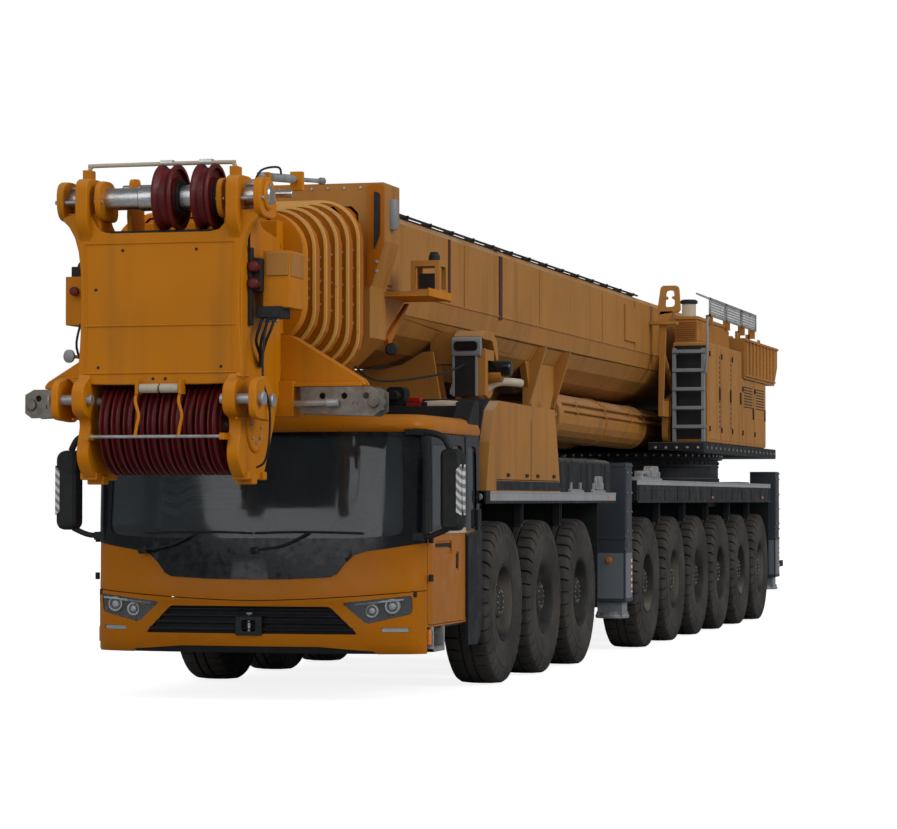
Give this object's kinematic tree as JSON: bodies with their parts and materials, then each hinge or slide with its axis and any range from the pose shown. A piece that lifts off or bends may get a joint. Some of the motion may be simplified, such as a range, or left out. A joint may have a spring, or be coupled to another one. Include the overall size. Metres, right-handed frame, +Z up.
{
  "type": "mobile crane",
  "caption": "All-terrain mobile crane stowed for the road: telescopic boom on a slewing superstructure, carried by a long multi-axle truck chassis with outriggers.",
  "frame": {"origin": "on the ground under the middle of the crane's overall length and width", "axes": "+Z up, -Y towards the driver's cab, +X to the vehicle's left"},
  "size_m": [3.6, 22.75, 4.395],
  "materials": {
    "crane_yellow": "satin ochre yellow paint, dusty",
    "chassis_black": "satin blue-black paint",
    "deck_grey": "matt grey paint with tread plate",
    "tyre_rubber": "matt dusty rubber",
    "bright_steel": "galvanised or ground steel",
    "cab_glass": "tinted glass",
    "operator_black": "gloss black",
    "sheave_red": "dark red cast nylon"
  },
  "bodies": {
    "carrier": {"chassis_frame": "chassis_black", "axles": "chassis_black", "deck": "deck_grey", "front_bumper": "crane_yellow", "driver_cab": "crane_yellow", "windscreen": "cab_glass", "engine_hood": "crane_yellow", "carrier_engine": "chassis_black"},
    "knuckle_1_left": {"knuckle_1_left": "chassis_black"},
    "wheel_1_left": {"wheel_1_left": "tyre_rubber"},
    "knuckle_1_right": {"knuckle_1_right": "chassis_black"},
    "wheel_1_right": {"wheel_1_right": "tyre_rubber"},
    "knuckle_2_left": {"knuckle_2_left": "chassis_black"},
    "wheel_2_left": {"wheel_2_left": "tyre_rubber"},
    "knuckle_2_right": {"knuckle_2_right": "chassis_black"},
    "wheel_2_right": {"wheel_2_right": "tyre_rubber"},
    "knuckle_3_left": {"knuckle_3_left": "chassis_black"},
    "wheel_3_left": {"wheel_3_left": "tyre_rubber"},
    "knuckle_3_right": {"knuckle_3_right": "chassis_black"},
    "wheel_3_right": {"wheel_3_right": "tyre_rubber"},
    "wheel_4_left": {"wheel_4_left": "tyre_rubber"},
    "wheel_4_right": {"wheel_4_right": "tyre_rubber"},
    "wheel_5_left": {"wheel_5_left": "tyre_rubber"},
    "wheel_5_right": {"wheel_5_right": "tyre_rubber"},
    "wheel_6_left": {"wheel_6_left": "tyre_rubber"},
    "wheel_6_right": {"wheel_6_right": "tyre_rubber"},
    "wheel_7_left": {"wheel_7_left": "tyre_rubber"},
    "wheel_7_right": {"wheel_7_right": "tyre_rubber"},
    "wheel_8_left": {"wheel_8_left": "tyre_rubber"},
    "wheel_8_right": {"wheel_8_right": "tyre_rubber"},
    "wheel_9_left": {"wheel_9_left": "tyre_rubber"},
    "wheel_9_right": {"wheel_9_right": "tyre_rubber"},
    "left_cab_door": {"left_cab_door": "crane_yellow"},
    "right_cab_door": {"right_cab_door": "crane_yellow"},
    "outrigger_beam_front_left": {"outrigger_beam_front_left": "chassis_black"},
    "outrigger_jack_front_left": {"outrigger_jack_front_left": "bright_steel"},
    "outrigger_beam_front_right": {"outrigger_beam_front_right": "chassis_black"},
    "outrigger_jack_front_right": {"outrigger_jack_front_right": "bright_steel"},
    "outrigger_beam_rear_left": {"outrigger_beam_rear_left": "chassis_black"},
    "outrigger_jack_rear_left": {"outrigger_jack_rear_left": "bright_steel"},
    "outrigger_beam_rear_right": {"outrigger_beam_rear_right": "chassis_black"},
    "outrigger_jack_rear_right": {"outrigger_jack_rear_right": "bright_steel"},
    "superstructure": {"turntable": "crane_yellow", "engine_house": "crane_yellow", "counterweight": "crane_yellow", "operator_cab": "crane_yellow"},
    "operator_door": {"operator_door": "operator_black"},
    "hoist_winch": {"hoist_winch": "bright_steel"},
    "boom": {"boom_base": "crane_yellow"},
    "luffing_barrels": {"luffing_barrels": "crane_yellow"},
    "luffing_rods": {"luffing_rod_left": "bright_steel", "luffing_rod_right": "bright_steel"},
    "boom_section_1": {"boom_section_1": "crane_yellow"},
    "boom_section_2": {"boom_section_2": "crane_yellow"},
    "boom_section_3": {"boom_section_3": "crane_yellow"},
    "boom_section_4": {"boom_section_4": "crane_yellow"},
    "boom_section_5": {"boom_section_5": "crane_yellow"},
    "boom_head": {"boom_head": "crane_yellow"},
    "lower_sheaves": {"lower_sheaves": "sheave_red"},
    "upper_sheaves": {"upper_sheaves": "sheave_red"}
  },
  "joints": [
    {"name": "steer_1_left", "type": "hinge", "parent": "carrier", "child": "knuckle_1_left", "pos_m": [1.1175, -6.125, 0.745], "axis": [0, 0, 1], "range_deg": [-32, 32]},
    {"name": "luff", "type": "hinge", "parent": "superstructure", "child": "boom", "pos_m": [0, 9.475, 3.72], "axis": [-1, 0, 0], "range_deg": [0, 82]},
    {"name": "boom_section_1_slide", "type": "slide", "parent": "boom", "child": "boom_section_1", "axis": [0, -1, 0], "range_m": [0, 12]},
    {"name": "slew", "type": "hinge", "parent": "carrier", "child": "superstructure", "pos_m": [0, 6.475, 2.2], "axis": [0, 0, 1], "continuous": true},
    {"name": "left_cab_door_hinge", "type": "hinge", "parent": "carrier", "child": "left_cab_door", "pos_m": [1.484, -8.709, 1.38], "axis": [0, 0, -1], "range_deg": [0, 70]},
    {"name": "right_cab_door_hinge", "type": "hinge", "parent": "carrier", "child": "right_cab_door", "pos_m": [-1.484, -8.709, 1.38], "axis": [0, 0, 1], "range_deg": [0, 70]},
    {"name": "outrigger_beam_front_left_slide", "type": "slide", "parent": "carrier", "child": "outrigger_beam_front_left", "axis": [1, 0, 0], "range_m": [0, 1.7]},
    {"name": "outrigger_jack_front_left_slide", "type": "slide", "parent": "outrigger_beam_front_left", "child": "outrigger_jack_front_left", "axis": [0, 0, -1], "range_m": [0, 0.6]},
    {"name": "outrigger_beam_front_right_slide", "type": "slide", "parent": "carrier", "child": "outrigger_beam_front_right", "axis": [-1, 0, 0], "range_m": [0, 1.7]},
    {"name": "outrigger_jack_front_right_slide", "type": "slide", "parent": "outrigger_beam_front_right", "child": "outrigger_jack_front_right", "axis": [0, 0, -1], "range_m": [0, 0.6]},
    {"name": "outrigger_beam_rear_left_slide", "type": "slide", "parent": "carrier", "child": "outrigger_beam_rear_left", "axis": [1, 0, 0], "range_m": [0, 1.7]},
    {"name": "outrigger_jack_rear_left_slide", "type": "slide", "parent": "outrigger_beam_rear_left", "child": "outrigger_jack_rear_left", "axis": [0, 0, -1], "range_m": [0, 0.6]},
    {"name": "outrigger_beam_rear_right_slide", "type": "slide", "parent": "carrier", "child": "outrigger_beam_rear_right", "axis": [-1, 0, 0], "range_m": [0, 1.7]},
    {"name": "outrigger_jack_rear_right_slide", "type": "slide", "parent": "outrigger_beam_rear_right", "child": "outrigger_jack_rear_right", "axis": [0, 0, -1], "range_m": [0, 0.6]},
    {"name": "operator_door_slide", "type": "slide", "parent": "superstructure", "child": "operator_door", "axis": [0, 1, 0], "range_m": [0, 0.68]},
    {"name": "winch_spin", "type": "hinge", "parent": "superstructure", "child": "hoist_winch", "pos_m": [0, 10.435, 2.96], "axis": [1, 0, 0], "continuous": true},
    {"name": "lower_sheaves_spin", "type": "hinge", "parent": "boom_head", "child": "lower_sheaves", "pos_m": [0, -10.885, 2.245], "axis": [1, 0, 0], "continuous": true},
    {"name": "upper_sheaves_spin", "type": "hinge", "parent": "boom_head", "child": "upper_sheaves", "pos_m": [0, -11.085, 4.01], "axis": [1, 0, 0], "continuous": true},
    {"name": "steer_1_right", "type": "hinge", "parent": "carrier", "child": "knuckle_1_right", "pos_m": [-1.1175, -6.125, 0.745], "axis": [0, 0, 1], "range_deg": [-32.1, 32.1]},
    {"name": "steer_2_left", "type": "hinge", "parent": "carrier", "child": "knuckle_2_left", "pos_m": [1.1175, -4.475, 0.745], "axis": [0, 0, 1], "range_deg": [-26.34, 26.34]},
    {"name": "steer_2_right", "type": "hinge", "parent": "carrier", "child": "knuckle_2_right", "pos_m": [-1.1175, -4.475, 0.745], "axis": [0, 0, 1], "range_deg": [-26.34, 26.34]},
    {"name": "steer_3_left", "type": "hinge", "parent": "carrier", "child": "knuckle_3_left", "pos_m": [1.1175, -2.825, 0.745], "axis": [0, 0, 1], "range_deg": [-19.94, 19.94]},
    {"name": "steer_3_right", "type": "hinge", "parent": "carrier", "child": "knuckle_3_right", "pos_m": [-1.1175, -2.825, 0.745], "axis": [0, 0, 1], "range_deg": [-19.94, 19.94]},
    {"name": "luffing_barrels_hinge", "type": "hinge", "parent": "superstructure", "child": "luffing_barrels", "pos_m": [0, 7.075, 2.595], "axis": [-1, 0, 0], "range_deg": [-0.1, 89.19]},
    {"name": "luffing_rods_slide", "type": "slide", "parent": "luffing_barrels", "child": "luffing_rods", "axis": [0, -1, 0.0055], "range_m": [-0.001, 3.2747]},
    {"name": "boom_section_2_slide", "type": "slide", "parent": "boom_section_1", "child": "boom_section_2", "axis": [0, -1, 0], "range_m": [-0.001, 12.001]},
    {"name": "boom_section_3_slide", "type": "slide", "parent": "boom_section_2", "child": "boom_section_3", "axis": [0, -1, 0], "range_m": [-0.001, 12.001]},
    {"name": "boom_section_4_slide", "type": "slide", "parent": "boom_section_3", "child": "boom_section_4", "axis": [0, -1, 0], "range_m": [-0.001, 12.001]},
    {"name": "boom_section_5_slide", "type": "slide", "parent": "boom_section_4", "child": "boom_section_5", "axis": [0, -1, 0], "range_m": [-0.001, 12.001]},
    {"name": "boom_head_slide", "type": "slide", "parent": "boom_section_5", "child": "boom_head", "axis": [0, -1, 0], "range_m": [-0.001, 12.001]},
    {"name": "wheel_1_left_spin", "type": "hinge", "parent": "knuckle_1_left", "child": "wheel_1_left", "pos_m": [1.2775, -6.125, 0.745], "axis": [1, 0, 0], "continuous": true},
    {"name": "wheel_1_right_spin", "type": "hinge", "parent": "knuckle_1_right", "child": "wheel_1_right", "pos_m": [-1.2775, -6.125, 0.745], "axis": [1, 0, 0], "continuous": true},
    {"name": "wheel_2_left_spin", "type": "hinge", "parent": "knuckle_2_left", "child": "wheel_2_left", "pos_m": [1.2775, -4.475, 0.745], "axis": [1, 0, 0], "continuous": true},
    {"name": "wheel_2_right_spin", "type": "hinge", "parent": "knuckle_2_right", "child": "wheel_2_right", "pos_m": [-1.2775, -4.475, 0.745], "axis": [1, 0, 0], "continuous": true},
    {"name": "wheel_3_left_spin", "type": "hinge", "parent": "knuckle_3_left", "child": "wheel_3_left", "pos_m": [1.2775, -2.825, 0.745], "axis": [1, 0, 0], "continuous": true},
    {"name": "wheel_3_right_spin", "type": "hinge", "parent": "knuckle_3_right", "child": "wheel_3_right", "pos_m": [-1.2775, -2.825, 0.745], "axis": [1, 0, 0], "continuous": true},
    {"name": "wheel_4_left_spin", "type": "hinge", "parent": "carrier", "child": "wheel_4_left", "pos_m": [1.2775, 0.775, 0.745], "axis": [1, 0, 0], "continuous": true},
    {"name": "wheel_4_right_spin", "type": "hinge", "parent": "carrier", "child": "wheel_4_right", "pos_m": [-1.2775, 0.775, 0.745], "axis": [1, 0, 0], "continuous": true},
    {"name": "wheel_5_left_spin", "type": "hinge", "parent": "carrier", "child": "wheel_5_left", "pos_m": [1.2775, 2.425, 0.745], "axis": [1, 0, 0], "continuous": true},
    {"name": "wheel_5_right_spin", "type": "hinge", "parent": "carrier", "child": "wheel_5_right", "pos_m": [-1.2775, 2.425, 0.745], "axis": [1, 0, 0], "continuous": true},
    {"name": "wheel_6_left_spin", "type": "hinge", "parent": "carrier", "child": "wheel_6_left", "pos_m": [1.2775, 4.075, 0.745], "axis": [1, 0, 0], "continuous": true},
    {"name": "wheel_6_right_spin", "type": "hinge", "parent": "carrier", "child": "wheel_6_right", "pos_m": [-1.2775, 4.075, 0.745], "axis": [1, 0, 0], "continuous": true},
    {"name": "wheel_7_left_spin", "type": "hinge", "parent": "carrier", "child": "wheel_7_left", "pos_m": [1.2775, 5.725, 0.745], "axis": [1, 0, 0], "continuous": true},
    {"name": "wheel_7_right_spin", "type": "hinge", "parent": "carrier", "child": "wheel_7_right", "pos_m": [-1.2775, 5.725, 0.745], "axis": [1, 0, 0], "continuous": true},
    {"name": "wheel_8_left_spin", "type": "hinge", "parent": "carrier", "child": "wheel_8_left", "pos_m": [1.2775, 7.375, 0.745], "axis": [1, 0, 0], "continuous": true},
    {"name": "wheel_8_right_spin", "type": "hinge", "parent": "carrier", "child": "wheel_8_right", "pos_m": [-1.2775, 7.375, 0.745], "axis": [1, 0, 0], "continuous": true},
    {"name": "wheel_9_left_spin", "type": "hinge", "parent": "carrier", "child": "wheel_9_left", "pos_m": [1.2775, 9.025, 0.745], "axis": [1, 0, 0], "continuous": true},
    {"name": "wheel_9_right_spin", "type": "hinge", "parent": "carrier", "child": "wheel_9_right", "pos_m": [-1.2775, 9.025, 0.745], "axis": [1, 0, 0], "continuous": true}
  ],
  "couplings": [
    {"joint": "steer_1_right", "follows": "steer_1_left", "ratio": 1},
    {"joint": "steer_2_left", "follows": "steer_1_left", "ratio": 0.82},
    {"joint": "steer_2_right", "follows": "steer_1_left", "ratio": 0.82},
    {"joint": "steer_3_left", "follows": "steer_1_left", "ratio": 0.62},
    {"joint": "steer_3_right", "follows": "steer_1_left", "ratio": 0.62},
    {"joint": "luffing_barrels_hinge", "follows": "luff", "ratio": 1.0853},
    {"joint": "luffing_rods_slide", "follows": "luff", "m_per_rad": 2.2867},
    {"joint": "boom_section_2_slide", "follows": "boom_section_1_slide", "ratio": 1},
    {"joint": "boom_section_3_slide", "follows": "boom_section_1_slide", "ratio": 1},
    {"joint": "boom_section_4_slide", "follows": "boom_section_1_slide", "ratio": 1},
    {"joint": "boom_section_5_slide", "follows": "boom_section_1_slide", "ratio": 1},
    {"joint": "boom_head_slide", "follows": "boom_section_1_slide", "ratio": 1}
  ]
}
